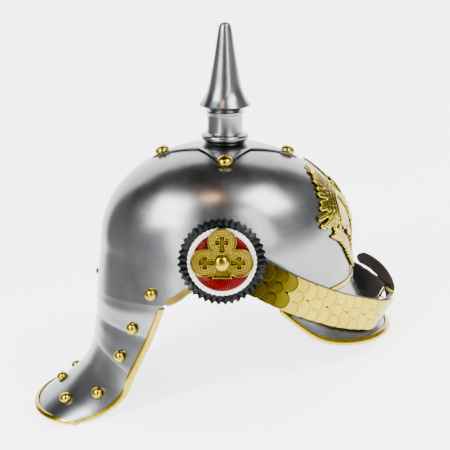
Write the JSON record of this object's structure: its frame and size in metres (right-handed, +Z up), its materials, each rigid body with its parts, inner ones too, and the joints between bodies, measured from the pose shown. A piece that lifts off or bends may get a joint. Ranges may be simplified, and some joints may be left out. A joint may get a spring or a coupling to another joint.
{
  "type": "spiked cavalry helmet",
  "caption": "Polished steel helmet with a lobster-tail neck guard, a short visor, a tall spike, an eagle front plate, side cockades and a scaled chin strap carried over the visor.",
  "frame": {"origin": "middle of the footprint of the helmet at rest on a level surface", "axes": "+Z up, the front and visor towards -Y, the wearer's left towards +X; the helmet is tipped forward by about 15 degrees onto its visor and neck guard, as it lies on a table"},
  "size_m": [0.2236, 0.374, 0.3199],
  "materials": {
    "steel": "polished bright steel",
    "brass": "polished",
    "dark_brass": "dulled",
    "leather": "black, smooth",
    "black_lacquer": "gloss black",
    "white_lacquer": "satin white",
    "red_lacquer": "gloss red"
  },
  "bodies": {
    "root": {"cockade_black_right": "black_lacquer", "cockade_white_right": "white_lacquer", "cockade_red_right": "red_lacquer", "cockade_trefoil_right": "brass", "cockade_screw_right": "brass", "cockade_black_left": "black_lacquer", "cockade_white_left": "white_lacquer", "cockade_red_left": "red_lacquer", "cockade_trefoil_left": "brass", "cockade_screw_left": "brass", "skull": "steel", "rear_rivet": "steel", "neck_lame_upper": "steel", "neck_lame_lower": "steel", "neck_guard": "steel", "neck_stud_skull_right": "brass", "neck_stud_skull_left": "brass", "neck_stud_centre": "brass", "neck_stud_upper_right": "brass", "neck_stud_upper_left": "brass", "neck_stud_lower_right": "brass", "neck_stud_lower_left": "brass", "neck_stud_side_right": "brass", "neck_stud_side_left": "brass", "neck_stud_tail_right": "brass", "neck_stud_tail_left": "brass", "neck_guard_rim": "brass", "visor": "steel", "visor_rim": "brass", "visor_seam_strip": "brass", "ear_trim_right": "dark_brass", "ear_trim_left": "dark_brass", "spike_base": "steel", "base_stud_front": "brass", "base_stud_left": "brass", "base_stud_rear": "brass", "base_stud_right": "brass", "spike_neck": "steel", "spike": "steel", "crown_nut": "steel", "eagle_plate": "brass", "chin_scales_right": "brass", "strap_leather_right": "leather", "chin_scales_left": "brass", "strap_leather_left": "leather", "buckle_frame": "brass"}
  },
  "joints": []
}
